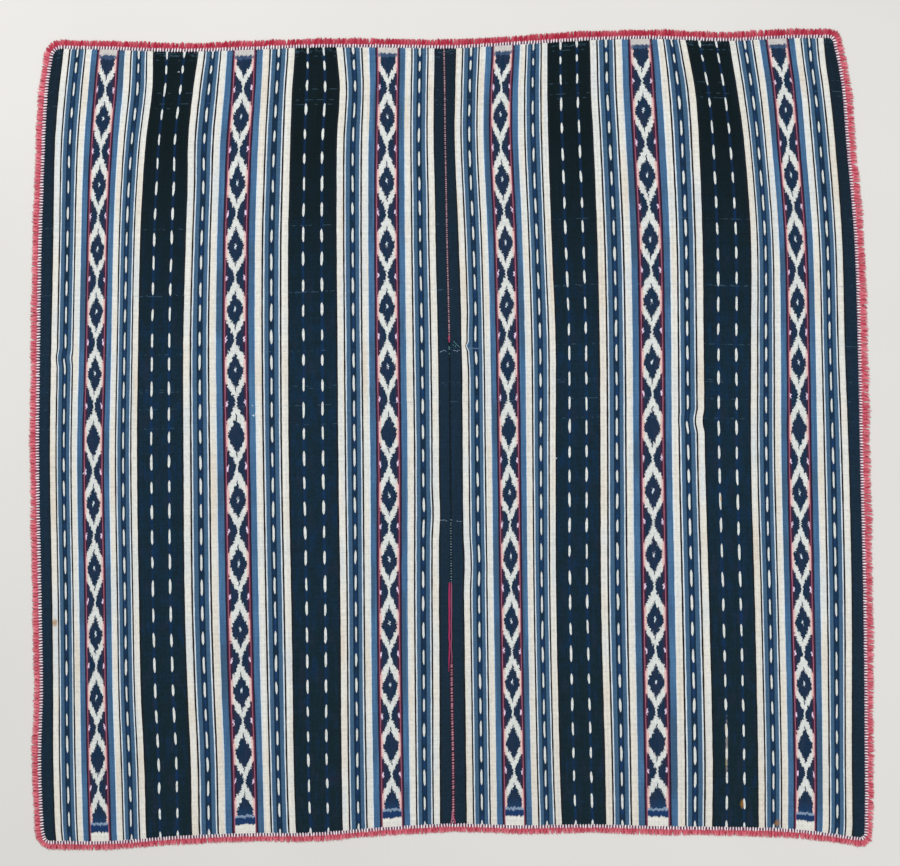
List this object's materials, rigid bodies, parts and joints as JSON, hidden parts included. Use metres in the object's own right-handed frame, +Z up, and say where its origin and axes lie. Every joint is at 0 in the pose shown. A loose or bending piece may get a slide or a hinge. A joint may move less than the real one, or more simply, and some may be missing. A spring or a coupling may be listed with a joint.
{
  "type": "poncho",
  "caption": "Poncho laid out flat: warp-striped ikat webs sewn edge to edge, with a neck slit left in the seam and a fringed edging all round.",
  "frame": {"origin": "middle of the underside, on the surface that the cloth lies on", "axes": "+X across the stripes, +Y along the warp, +Z up from the surface"},
  "size_m": [1.4745, 1.4367, 0.0066],
  "materials": {
    "cloth": "matt warp-faced wool or cotton, striped in navy, blue and cream",
    "edging": "matt woven heading and coral pink fringe yarn"
  },
  "bodies": {
    "root": {"web_left": "cloth", "web_right": "cloth", "edging_left": "edging", "edging_top": "edging", "edging_right": "edging", "edging_bottom": "edging"}
  },
  "joints": []
}
